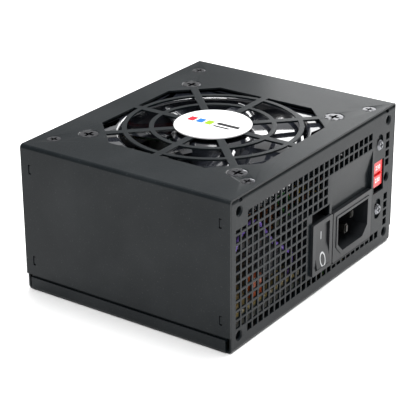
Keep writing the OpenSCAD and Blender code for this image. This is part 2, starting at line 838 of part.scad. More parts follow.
module x_capacitor() {
    color(tape_yellow) block([33, -21, part_z], [51, -12, part_z + 15]);
}

module y_capacitors() {
    color([0.15, 0.35, 0.75]) for (x = [38.5, 46.6]) {
        translate([x, -22.4, part_z + 5.5]) rotate([90, 0, 0]) cylinder(h = 2.6, r = 3.8);
        for (dx = [-2.4, 2.4]) translate([x + dx, -23.7, board_top]) cylinder(h = 4, r = 0.3, $fn = 24);
    }
}

choke_at = [22.4, -12.6, part_z + 1];

module filter_choke_core() {
    color(ferrite) translate(choke_at) difference() {
        block([-9, -7, 0], [9, 7, 22]);
        block([-4.5, -8, 4.5], [4.5, 8, 17.5]);
    }
}

module filter_choke_coils() {
    color(copper) translate(choke_at) for (x = [-6.75, 6.75]) translate([x, 0, 5]) difference() {
        translate([0, -8.4]) linear_extrude(12) round_rect(6.6, 16.8, 2.8);
        block([-2.3, -7.05, -1], [2.3, 7.05, 13]);
    }
}

module bridge_rectifier() {
    color(black_plastic) block([14.1, -3, part_z + 4], [17.7, 18.4, part_z + 20]);
    color(steel) for (y = [0, 5, 10, 15]) block([15.6, y - 0.5, board_top], [16.4, y + 0.5, part_z + 4.5]);
}

module bulk_capacitors() {
    color([0.10, 0.12, 0.20]) for (y = [2, 27]) translate([44, y, part_z]) can_capacitor(11, 33);
}

// An upright extruded heat sink whose web stands at x = 0 to 3, with fins towards +X
module heatsink(length) {
    difference() {
        translate([0, length, 0]) rotate([90, 0, 0]) linear_extrude(length) {
            square([3, 35]);
            for (z = [23.5, 27, 30.5, 34]) translate([0, z]) square([14, 1.2]);
        }
    }
}

primary_sink_at = [11, -4, part_z];
secondary_sink_at = [-26, -8, part_z];

module primary_heatsink() {
    color(steel) translate(primary_sink_at) difference() {
        heatsink(46);
        for (y = [28, 41]) rod_x(y, 16.5, 1.25, -1, 4);
    }
}

module switching_transistors() {
    color(black_plastic) for (y = [24, 37]) translate([14.05, y, part_z]) power_device();
}

module transformer_core() {
    color(ferrite) translate([-6, 7, part_z + 3]) difference() {
        block([-7, -17, 0], [7, 17, 28]);
        block([-8, -12.5, 4.5], [8, -5.5, 23.5]);
        block([-8, 5.5, 4.5], [8, 12.5, 23.5]);
    }
}

module transformer_winding() {
    color(tape_yellow) translate([-6, 7, part_z + 3]) difference() {
        translate([0, 0, 5]) linear_extrude(18) translate([0, -12.2]) round_rect(28, 24.4, 7);
        block([-7.1, -5.6, 0], [7.1, 5.6, 28]);
        for (s = [-1, 1]) block([-7.1, s > 0 ? 12.4 : -20, 0], [7.1, s > 0 ? 20 : -12.4, 28]);
    }
}

module driver_transformer() {
    color(ferrite) block([-14, 29, part_z + 2], [2, 38, part_z + 16]);
    color(tape_yellow) difference() {
        block([-12, 26.5, part_z + 4.5], [0, 40.5, part_z + 13.5]);
        block([-14.1, 28.9, part_z], [2.1, 38.1, part_z + 20]);
    }
}

module standby_transformer() {
    color(ferrite) block([-28, -37, part_z + 2], [-10, -29, part_z + 17]);
    color(tape_yellow) difference() {
        block([-26, -40, part_z + 4.5], [-12, -26, part_z + 14.5]);
        block([-28.1, -37.1, part_z], [-9.9, -28.9, part_z + 20]);
    }
}

module secondary_heatsink() {
    color(steel) translate(secondary_sink_at) mirror([1, 0, 0]) translate([-3, 0, 0]) difference() {
        heatsink(46);
        for (y = [8, 21, 34]) rod_x(y, 16.5, 1.25, -1, 4);
    }
}

module output_rectifiers() {
    color(black_plastic) for (y = [0, 13, 26]) translate([secondary_sink_at[0] - 0.05, y, part_z])
        mirror([1, 0, 0]) power_device();
}

module device_screws() {
    color(steel) {
        for (y = [24, 37]) translate([15.4, y, part_z + 16.5]) rotate([0, 90, 0]) pan_screw(2.4, 1.8, 1.2, 5);
        for (y = [0, 13, 26]) translate([-27.4, y, part_z + 16.5]) rotate([0, -90, 0]) pan_screw(2.4, 1.8, 1.2, 5);
    }
}

ring_choke_at = [-44, -22, part_z + 1.4];

module output_choke_core() {
    color([0.93, 0.85, 0.30]) translate(ring_choke_at) ring_core(11.5, 6.2, 9);
}

module output_choke_coil() {
    color(copper) translate(ring_choke_at) for (i = [0 : 15]) rotate(20 + i * 20) difference() {
        block([5, -0.7, -1.2], [12.8, 0.7, 10.2]);
        block([6.1, -1, -0.05], [11.6, 1, 9.05]);
    }
}

module output_capacitors() {
    color([0.12, 0.16, 0.26]) for (p = [[-50, 0], [-50, 12], [-39, 0], [-39, 12], [-39, 24]])
        translate([p[0], p[1], part_z]) can_capacitor(5, 20);
}

module film_capacitor() {
    color([0.90, 0.35, 0.12]) block([-33.3, -41, part_z], [-26.3, -37.5, part_z + 9]);
}

module control_board() {
    color([0.12, 0.38, 0.20]) block([-28, 42, part_z], [8, 43.2, part_z + 26]);
}

module control_chip() {
    color(black_plastic) block([-14, 39.2, part_z + 15], [-6, 41.95, part_z + 25]);
}

module fan_header() {
    color(white_plastic) difference() {
        block([24, 38, part_z], [30, 43.5, part_z + 7]);
        block([24.8, 38.8, part_z + 1.5], [29.2, 42.7, part_z + 8]);
        for (x = [25.7, 28.3]) translate([x, 40.75, board_top]) cylinder(h = 3, r = 0.4, $fn = 24);
    }
    color(steel) for (x = [25.7, 28.3]) translate([x, 40.75, board_top]) cylinder(h = 5.2, r = 0.35, $fn = 24);
}

// ---- Cable outlet, earth and wires -----------------------------------------------------------

module cable_grommet() {
    color(black_plastic) difference() {
        union() {
            rod_y(outlet_x, outlet_z, outlet_r + 1.6, rear_y + 0.05, rear_y + 1.6);
            rod_y(outlet_x, outlet_z, outlet_r - 0.05, rear_y - 2.4, rear_y + 1);
            rod_y(outlet_x, outlet_z, outlet_r + 0.9, rear_y - 2.4, rear_y - sheet_t - 0.05);
        }
        rod_y(outlet_x, outlet_z, outlet_bore_r, rear_y - 4, rear_y + 3);
    }
}

earth_at = [12, -45.3, sheet_t];

module earth_screw() {
    color(brass) translate(earth_at) {
        cylinder(h = 0.8, r = 3.1);
        translate([0, 0, 0.8]) cylinder(h = 1.6, r = 2.6, $fn = 6);
    }
}

module earth_wire() {
    color([0.35, 0.70, 0.20]) wire([[28, -24.95, 17.6], [28, -22.8, 17.6], [19, -22.6, 31.5], [11.2, -24, 31],
        [10.8, -44, 9], [12, -45.3, 6], [12, -45.3, 3.25]], 1);
}

module mains_wires() {
    color([0.35, 0.18, 0.08]) wire([[21, -24.95, 21.6], [21, -22.8, 21.6], [13, -21.8, 27], [2.4, -23, 27],
        [2.4, -26, 25.6], [2.4, -28.95, 25.6]], 1);
    color([0.10, 0.25, 0.65]) wire([[35, -24.95, 21.6], [35, -22.8, 21.6], [40, -22.6, 28], [52, -25, 28],
        [56.6, -14, 20], [56.6, -12, 14], [56.6, -12, board_top + 0.02]], 1);
}

module fan_lead() {
    for (i = [0, 1]) color(i == 0 ? [0.75, 0.08, 0.06] : black_plastic)
        wire([[8 + i * 1.6, 14 + i, fan_bottom - 0.95], [26 + i * 1.6, 30, fan_bottom - 0.95],
            [26 + i * 1.6, 40.8, fan_bottom - 1.6], [26 + i * 1.6, 40.8, part_z + 5.4]], 0.7);
}

module jumper_wire() {
    color([0.42, 0.20, 0.62]) wire([[-49, -40.4, board_top + 0.1], [-50, -41, 30], [-46, -42.9, 41],
        [-39.5, -43.6, 45], [-34, -43.6, 43.5], [-23.7, -43.6, 30.9], [-9.5, -43.4, 20.5],
        [-7, -42.2, 15], [-7, -41, board_top + 0.3]], 0.8);
}

base_tray();
mains_panel();
cable_panel();
top_cover();
cover_screws();
grille_badge();
fan_frame();
fan_impeller();
rotor_yoke();
rotor_magnet();
fan_shaft();
fan_bearing();
fan_stator();
fan_coils();
fan_board();
fan_screws();
inlet_housing();
inlet_blades();
switch_housing();
switch_rocker();
switch_terminals();
selector_housing();
selector_slider();
selector_screws();
selector_terminals();
insulation_sheet();
main_board();
board_standoffs();
board_screws();
fuse();
fuse_clips();
surge_thermistor();
x_capacitor();
y_capacitors();
filter_choke_core();
filter_choke_coils();
bridge_rectifier();
bulk_capacitors();
primary_heatsink();
switching_transistors();
transformer_core();
transformer_winding();
driver_transformer();
standby_transformer();
secondary_heatsink();
output_rectifiers();
device_screws();
output_choke_core();
output_choke_coil();
output_capacitors();
film_capacitor();
control_board();
control_chip();
fan_header();
cable_grommet();
earth_screw();
earth_wire();
mains_wires();
fan_lead();
jumper_wire();
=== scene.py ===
"""Finished looks of a small computer power supply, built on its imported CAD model.

The CAD model gives every size and place. This script softens the edges of its sheet metal and
mouldings, adds the printed and wound detail, gives each finish a procedural material, and sets
a pale floor, soft studio lights and the camera.
"""

import json
import logging
import math
from dataclasses import dataclass, field
from enum import Enum
from typing import Any, Callable, Dict, List, Optional, Sequence, Tuple

import bpy
from mathutils import Matrix, Vector

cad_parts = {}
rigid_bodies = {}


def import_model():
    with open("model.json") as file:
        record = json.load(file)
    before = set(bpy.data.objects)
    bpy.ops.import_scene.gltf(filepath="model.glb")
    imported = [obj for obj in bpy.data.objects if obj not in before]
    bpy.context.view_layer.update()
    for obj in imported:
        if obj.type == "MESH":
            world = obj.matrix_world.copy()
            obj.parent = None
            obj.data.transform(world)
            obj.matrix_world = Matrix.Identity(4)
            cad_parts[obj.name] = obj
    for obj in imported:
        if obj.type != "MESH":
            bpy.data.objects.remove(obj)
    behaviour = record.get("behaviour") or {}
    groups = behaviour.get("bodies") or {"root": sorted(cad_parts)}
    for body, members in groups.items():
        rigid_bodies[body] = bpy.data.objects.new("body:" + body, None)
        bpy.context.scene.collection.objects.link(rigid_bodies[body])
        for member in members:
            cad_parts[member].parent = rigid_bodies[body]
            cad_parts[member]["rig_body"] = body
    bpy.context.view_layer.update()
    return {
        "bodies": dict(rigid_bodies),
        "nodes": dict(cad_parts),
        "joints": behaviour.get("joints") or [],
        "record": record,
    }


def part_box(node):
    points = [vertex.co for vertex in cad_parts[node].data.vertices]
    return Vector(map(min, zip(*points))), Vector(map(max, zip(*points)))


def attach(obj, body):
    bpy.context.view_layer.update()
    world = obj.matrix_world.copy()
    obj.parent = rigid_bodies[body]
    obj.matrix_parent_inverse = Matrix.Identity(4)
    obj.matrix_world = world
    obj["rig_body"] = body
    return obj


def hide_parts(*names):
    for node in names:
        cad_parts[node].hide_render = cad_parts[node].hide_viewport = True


LOG = logging.getLogger("power_supply")
MM = 0.001
Colour = Tuple[float, float, float]
BUMP_STRENGTH = 0.9  # share of each relief that is used
PATCH_RANGE = (0.3, 0.7)  # part of the patch noise that the colours and the roughness span
PRINT_EDGE = 0.00003  # half width of a printed edge, in metres
PRINT_BLACK = (0.005, 0.005, 0.006)
SAME_PLACE = 0.00001  # points closer than this are at one place, in metres


# ---- Shader maths ----------------------------------------------------------------------


class Signal:
    """A shader socket that takes part in Python expressions.

    Args:
        shader: The material under construction.
        socket: The output socket.
    """

    def __init__(self, shader: "Shader", socket: Any) -> None:
        self.shader = shader
        self.socket = socket

    def _math(self, operation: str, *values: Any) -> "Signal":
        """Adds one Math node.

        Args:
            operation: The node's operation.
            values: Its inputs in order.

        Returns:
            The node's result.
        """
        return self.shader.node("ShaderNodeMath", {"operation": operation}, dict(enumerate(values)))

    def __add__(self, other: Any) -> "Signal":
        """Sum."""
        return self._math("ADD", self, other)

    def __sub__(self, other: Any) -> "Signal":
        """Difference."""
        return self._math("SUBTRACT", self, other)

    def __rsub__(self, other: Any) -> "Signal":
        """Difference, from the other side."""
        return self._math("SUBTRACT", other, self)

    def __mul__(self, other: Any) -> "Signal":
        """Product."""
        return self._math("MULTIPLY", self, other)

    def __truediv__(self, other: Any) -> "Signal":
        """Quotient."""
        return self._math("DIVIDE", self, other)

    def __abs__(self) -> "Signal":
        """Size without sign."""
        return self._math("ABSOLUTE", self)

    def root(self) -> "Signal":
        """Square root."""
        return self._math("SQRT", self)

    def sine(self) -> "Signal":
        """Sine."""
        return self._math("SINE", self)

    def highest(self, other: Any) -> "Signal":
        """The greater of the two."""
        return self._math("MAXIMUM", self, other)


class Shader:
    """Builds the node tree of one material.

    Args:
        name: Name of the material.
    """

    def __init__(self, name: str) -> None:
        self.material = bpy.data.materials.new(name)
        self.material.use_nodes = True
        self.tree = self.material.node_tree
        self.tree.nodes.clear()
        self._place: Optional[Signal] = None

    def node(self, kind: str, settings: Dict[str, Any], inputs: Dict[Any, Any],
             output: Any = 0) -> Signal:
        """Adds one node.

        Args:
            kind: Blender's type of the node.
            settings: Its settings, set before its sockets. "stops" fills a colour ramp.
            inputs: Values or signals by socket name or number.
            output: Name or number of the socket that is returned.

        Returns:
            The signal of that output.
        """
        made = self.tree.nodes.new(kind)
        for key, value in settings.items():
            if key == "stops":
                ramp = made.color_ramp
                while len(ramp.elements) < len(value):
                    ramp.elements.new(0.5)
                for element, (position, colour) in zip(ramp.elements, value):
                    element.position = position
                    element.color = (*colour, 1.0)
            else:
                setattr(made, key, value)
        for key, value in inputs.items():
            if isinstance(value, Signal):
                value = value.socket
            if isinstance(value, bpy.types.NodeSocket):
                self.tree.links.new(value, made.inputs[key])
            elif isinstance(value, tuple) and len(value) == 3 and made.inputs[key].type == "RGBA":
                made.inputs[key].default_value = (*value, 1.0)
            else:
                made.inputs[key].default_value = value
        return Signal(self, made.outputs[output])

    @property
    def place(self) -> Signal:
        """Object coordinates, in metres."""
        if self._place is None:
            self._place = self.node("ShaderNodeTexCoord", {}, {}, "Object")
        return self._place

    def axes(self) -> Tuple[Signal, Signal, Signal]:
        """The three object coordinates as separate signals."""
        split = self.tree.nodes.new("ShaderNodeSeparateXYZ")
        self.tree.links.new(self.place.socket, split.inputs[0])
        return tuple(Signal(self, split.outputs[i]) for i in range(3))

    def stretched(self, factors: Sequence[float]) -> Signal:
        """Object coordinates scaled by one factor per axis.

        Args:
            factors: The three factors.

        Returns:
            The scaled vector.
        """
        return self.node("ShaderNodeVectorMath", {"operation": "MULTIPLY"},
                         {0: self.place, 1: tuple(factors)})

    def noise(self, size: float, detail: float = 2.0,
              factors: Sequence[float] = (1, 1, 1)) -> Signal:
        """Smooth noise.

        Args:
            size: Size of one patch in metres.
            detail: Number of finer layers.
            factors: Stretch along the axes.

        Returns:
            A value around 0.5.
        """
        vector = self.place if tuple(factors) == (1, 1, 1) else self.stretched(factors)
        return self.node("ShaderNodeTexNoise", {},
                         {"Vector": vector, "Scale": 1 / size, "Detail": detail})

    def band(self, value: Signal, low: float, high: float, soft: float) -> Signal:
        """1 between two limits.

        Args:
            value: The signal that is tested.
            low: Lower limit.
            high: Upper limit.
            soft: Half the width of the soft edges.

        Returns:
            The mask.
        """
        rise = self.spread(value, low - soft, low + soft)
        return rise * (1 - self.spread(value, high - soft, high + soft))

    def spread(self, value: Signal, low: float, high: float,
               to: Tuple[float, float] = (0.0, 1.0)) -> Signal:
        """Moves a range of values onto another one, with clamping.

        Args:
            value: The signal.
            low: Start of its range.
            high: End of its range.
            to: The new range.

        Returns:
            The new signal.
        """
        return self.node("ShaderNodeMapRange", {"clamp": True},
                         {"Value": value, "From Min": low, "From Max": high,
                          "To Min": to[0], "To Max": to[1]})

    def mix(self, factor: Any, a: Any, b: Any) -> Signal:
        """Mixes two colours.

        Args:
            factor: 0 for the first and 1 for the second.
            a: First colour.
            b: Second colour.

        Returns:
            The mixed colour.
        """
        made = self.tree.nodes.new("ShaderNodeMix")
        made.data_type = "RGBA"
        for socket, value in ((made.inputs[0], factor), (made.inputs[6], a), (made.inputs[7], b)):
            if isinstance(value, Signal):
                self.tree.links.new(value.socket, socket)
            else:
                socket.default_value = (*value, 1.0) if isinstance(value, tuple) else value
        return Signal(self, made.outputs[2])

    def bump(self, height: Signal, distance: float) -> Signal:
        """A bumped normal.

        Args:
            height: The relief, from 0 to 1.
            distance: Its height in metres.

        Returns:
            The normal.
        """
        return self.node("ShaderNodeBump", {},
                         {"Height": height, "Distance": distance, "Strength": BUMP_STRENGTH})

    def surface(self, varied: Dict[str, Signal], fixed: Dict[str, Any]) -> bpy.types.Material:
        """Ends the tree in a Principled shader.

        Args:
            varied: Signals by socket name.
            fixed: Constants by socket name.

        Returns:
            The finished material.
        """
        shaded = self.node("ShaderNodeBsdfPrincipled", {}, {**fixed, **varied})
        out = self.tree.nodes.new("ShaderNodeOutputMaterial")
        self.tree.links.new(shaded.socket, out.inputs["Surface"])
        return self.material


# ---- Finishes ----------------------------------------------------------------------------


class Grain(Enum):
    """The relief of a surface."""

    POWDER = "orange peel of a baked powder coat"
    MOULDED = "spark texture of a mould"
    BRUSHED = "fine lines along one direction"
    GLOSS = "almost none"
    WOUND = "turns of wire or tape"


@dataclass(frozen=True)
class Finish:
    """One finish of the object.

    Attributes:
        name: Name of its material.
        colour: Main colour.
        tint: Colour that the patches drift to.
        rough: Mean roughness.
        rough_drift: How far the roughness drifts.
        metal: 1 for bare metal.
        grain: Kind of relief.
        grain_size: Size of the relief in metres.
        grain_height: Height of the relief in metres.
        patch: Size of the colour patches in metres.
        specular: Specular level.
        coat: Weight of a clear coat.
        coat_rough: Roughness of the clear coat.
        coat_index: Refractive index of the clear coat.
        along: Direction of lines or turns.
    """

    name: str
    colour: Colour
    tint: Colour
    rough: float = 0.45
    rough_drift: float = 0.08
    metal: float = 0.0
    grain: Grain = Grain.MOULDED
    grain_size: float = 0.0004
    grain_height: float = 0.00002
    patch: float = 0.02
    specular: float = 0.5
    coat: float = 0.0
    coat_rough: float = 0.08
    coat_index: float = 1.5
    along: Tuple[float, float, float] = (0, 0, 1)

    def relief(self, shader: Shader) -> Signal:
        """The grain's height signal."""
        if self.grain is Grain.BRUSHED:
            across = tuple(1.0 - 0.97 * abs(a) for a in self.along)
            return shader.noise(self.grain_size, 3.0, across)
        if self.grain is Grain.WOUND:
            dot = shader.node("ShaderNodeVectorMath", {"operation": "DOT_PRODUCT"},
                              {0: shader.place, 1: self.along}, "Value")
            return abs((dot * (math.pi / self.grain_size)).sine())
        if self.grain is Grain.POWDER:
            fine = shader.noise(self.grain_size, 3.0) * 0.7
            return fine + shader.noise(self.grain_size * 3.3, 1.0) * 0.3
        return shader.noise(self.grain_size, 2.0)

    def paint(self, shader: Shader) -> Tuple[Signal, Signal]:
        """Colour and roughness of the bare finish.

        Args:
            shader: The material under construction.

        Returns:
            The colour and the roughness.
        """
        patches = shader.noise(self.patch, 4.0)
        colour = shader.mix(shader.spread(patches, *PATCH_RANGE), self.colour, self.tint)
        rough = shader.spread(patches, *PATCH_RANGE,
                              (self.rough - self.rough_drift, self.rough + self.rough_drift))
        return colour, rough

    def decorate(self, shader: Shader, colour: Signal, rough: Signal) -> Tuple[Signal, Signal]:
        """Adds prints or marks; a plain finish has none.

        Args:
            shader: The material under construction.
            colour: The finish's colour.
            rough: The finish's roughness.

        Returns:
            The new colour and roughness.
        """
        return colour, rough

    def build(self) -> bpy.types.Material:
        """Makes the material."""
        shader = Shader(self.name)
        colour, rough = self.decorate(shader, *self.paint(shader))
        normal = shader.bump(self.relief(shader), self.grain_height)
        return shader.surface(
            {"Base Color": colour, "Roughness": rough, "Normal": normal},
            {"Metallic": self.metal, "Specular IOR Level": self.specular, "Coat Weight": self.coat,
             "Coat Roughness": self.coat_rough, "Coat IOR": self.coat_index},
        )


@dataclass(frozen=True)
class PowderCoat(Finish):
    """Baked black powder coat with fine pale specks where the light catches its grain.

    Attributes:
        speck: Colour of the painted glint specks and of the haze.
        rub: Weight of the haze in the colour.
        haze_size: Size of one patch of haze in metres.
        haze_rough: Roughness that the haze adds.
    """

    speck: Colour = (0.16, 0.165, 0.17)
    rub: float = 0.05
    haze_size: float = 0.035
    haze_rough: float = 0.05

    def decorate(self, shader: Shader, colour: Signal, rough: Signal) -> Tuple[Signal, Signal]:
        """Adds the painted glint specks and a little handling haze.

        Args:
            shader: The material under construction.
            colour: The finish's colour.
            rough: The finish's roughness.

        Returns:
            The new colour and roughness.
        """
        # painted highlight: fine pale specks stand in for glints of light on the grain
        painted_glint_specks = shader.spread(shader.noise(self.grain_size * 1.4, 1.0), 0.66, 0.76)
        haze = shader.spread(shader.noise(self.haze_size, 3.0), 0.45, 0.75)
        colour = shader.mix(painted_glint_specks * 0.1 + haze * self.rub, colour, self.speck)
        return colour, rough + haze * self.haze_rough


@dataclass(frozen=True)
class Badge(Finish):
    """White disc with a plain printed mark: three coloured squares and two dark bars.

    Attributes:
        centre: Middle of the disc in metres.
    """

    centre: Tuple[float, float] = (0.0, 0.0)

    def decorate(self, shader: Shader, colour: Signal, rough: Signal) -> Tuple[Signal, Signal]:
        """Prints the mark.

        Args:
            shader: The material under construction.
            colour: The finish's colour.
            rough: The finish's roughness.

        Returns:
            The new colour and roughness.
        """
        x, y, _ = shader.axes()
        turn = math.radians(90)
        u = (x - self.centre[0]) * math.cos(turn) - (y - self.centre[1]) * math.sin(turn)
        v = (x - self.centre[0]) * math.sin(turn) + (y - self.centre[1]) * math.cos(turn)
        bars = [
            (-11.8, -8.4, -2.2, 2.2, (0.62, 0.005, 0.02)),
            (-7.6, -4.2, -2.2, 2.2, (0.005, 0.13, 0.52)),
            (-3.4, 0.0, -2.2, 2.2, (0.24, 0.38, 0.005)),
            (1.4, 12.2, -0.2, 2.3, PRINT_BLACK),
            (1.4, 9.2, -2.6, -1.2, PRINT_BLACK),
        ]
        for u0, u1, v0, v1, ink in bars:
            mask = (shader.band(u, u0 * MM, u1 * MM, PRINT_EDGE)
                    * shader.band(v, v0 * MM, v1 * MM, PRINT_EDGE))
            colour = shader.mix(mask, colour, ink)
        return colour, rough


@dataclass(frozen=True)
class RockerPrint(Finish):
    """Black rocker with a white bar and a white ring filled into it.

    Attributes:
        middle: Middle of the rocker across the face, in metres.
        bar_z: Middle height of the bar.
        ring_z: Middle height of the ring.
        bar_half: Half the bar's width and height in millimetres.
        ring_half: Half the ring's width and height in millimetres.
        ring_band: The ring's inner and outer edge, as shares of those.
        edge: Half width of the bar's edges in millimetres.
        ink: Colour of both marks.
    """

    middle: float = 0.0
    bar_z: float = 0.0251
    ring_z: float = 0.0146
    bar_half: Tuple[float, float] = (0.24, 1.7)
    ring_half: Tuple[float, float] = (1.85, 2.9)
    ring_band: Tuple[float, float] = (0.86, 1.12)
    edge: float = 0.05
    ink: Colour = (0.52, 0.53, 0.54)

    def decorate(self, shader: Shader, colour: Signal, rough: Signal) -> Tuple[Signal, Signal]:
        """Fills in the on and off marks.

        Args:
            shader: The material under construction.
            colour: The finish's colour.
            rough: The finish's roughness.

        Returns:
            The new colour and roughness.
        """
        x, _, z = shader.axes()
        across = (x - self.middle) / MM
        half_x, half_z = self.bar_half
        bar = (shader.band(across, -half_x, half_x, self.edge)
               * shader.band((z - self.bar_z) / MM, -half_z, half_z, self.edge))
        up = (z - self.ring_z) / MM
        half_x, half_z = self.ring_half
        far = ((across / half_x) * (across / half_x) + (up / half_z) * (up / half_z)).root()
        ring = shader.band(far, *self.ring_band, 0.03)
        mark = bar.highest(ring)
        return shader.mix(mark, colour, self.ink), rough + mark * 0.1


@dataclass(frozen=True)
class Board(Finish):
    """Glass-fibre board with pale printed outlines and tinned pads in rows.

    Attributes:
        ink: Colour of the outlines.
        outlines: Outlined cells in a metre.
        pads: Colour of the pads.
        pad_waves: Angle that the rows of pads turn through in a metre, in radians.
    """

    ink: Colour = (0.75, 0.75, 0.68)
    outlines: float = 95.0
    pads: Colour = (0.55, 0.55, 0.52)
    pad_waves: float = 1237.0

    def decorate(self, shader: Shader, colour: Signal, rough: Signal) -> Tuple[Signal, Signal]:
        """Adds the outlines and the pads.

        Args:
            shader: The material under construction.
            colour: The finish's colour.
            rough: The finish's roughness.

        Returns:
            The new colour and roughness.
        """
        cells = shader.node("ShaderNodeTexVoronoi", {"feature": "DISTANCE_TO_EDGE"},
                            {"Vector": shader.place, "Scale": self.outlines})
        outline = shader.spread(cells, 0.02, 0.035, (1.0, 0.0))
        x, y, _ = shader.axes()
        rows = (x * self.pad_waves).sine() * (y * self.pad_waves).sine()
        dots = shader.spread(rows, 0.86, 0.92)
        colour = shader.mix(outline * 0.35, colour, self.ink)
        return shader.mix(dots * 0.8, colour, self.pads), rough - dots * 0.15


@dataclass(frozen=True)
class Sleeve(Finish):
    """Heat-shrunk capacitor sleeve with pale stripes of dashes.

    Attributes:
        stripe: Colour of the dashes.
        stripe_waves: Angle that the stripes turn through in a metre across, in radians.
        dash_waves: Angle that the dashes turn through in a metre of height, in radians.
    """

    stripe: Colour = (0.62, 0.64, 0.66)
    stripe_waves: float = 420.0
    dash_waves: float = 900.0

    def decorate(self, shader: Shader, colour: Signal, rough: Signal) -> Tuple[Signal, Signal]:
        """Adds the dashes.

        Args:
            shader: The material under construction.
            colour: The finish's colour.
            rough: The finish's roughness.

        Returns:
            The new colour and roughness.
        """
        x, _, z = shader.axes()
        line = shader.spread((x * self.stripe_waves).sine(), 0.93, 0.96)
        dash = shader.spread((z * self.dash_waves).sine(), -0.5, -0.4)
        return shader.mix(line * dash, colour, self.stripe), rough


@dataclass(frozen=True)
class Tape(Finish):
    """Overlapping turns of tape, with painted shade darkening the groove at each turn."""

    def decorate(self, shader: Shader, colour: Signal, rough: Signal) -> Tuple[Signal, Signal]:
        """Paints shade into the grooves between the turns.

        Args:
            shader: The material under construction.
            colour: The finish's colour.
            rough: The finish's roughness.

        Returns:
            The new colour and roughness.
        """
        # painted shade: darker where the wound relief is lowest, in the grooves between turns
        edge = shader.spread(self.relief(shader), 0.0, 0.25, (1.0, 0.0))
        dark = tuple(c * 0.45 for c in self.colour)
        return shader.mix(edge * 0.6, colour, dark), rough + edge * 0.1


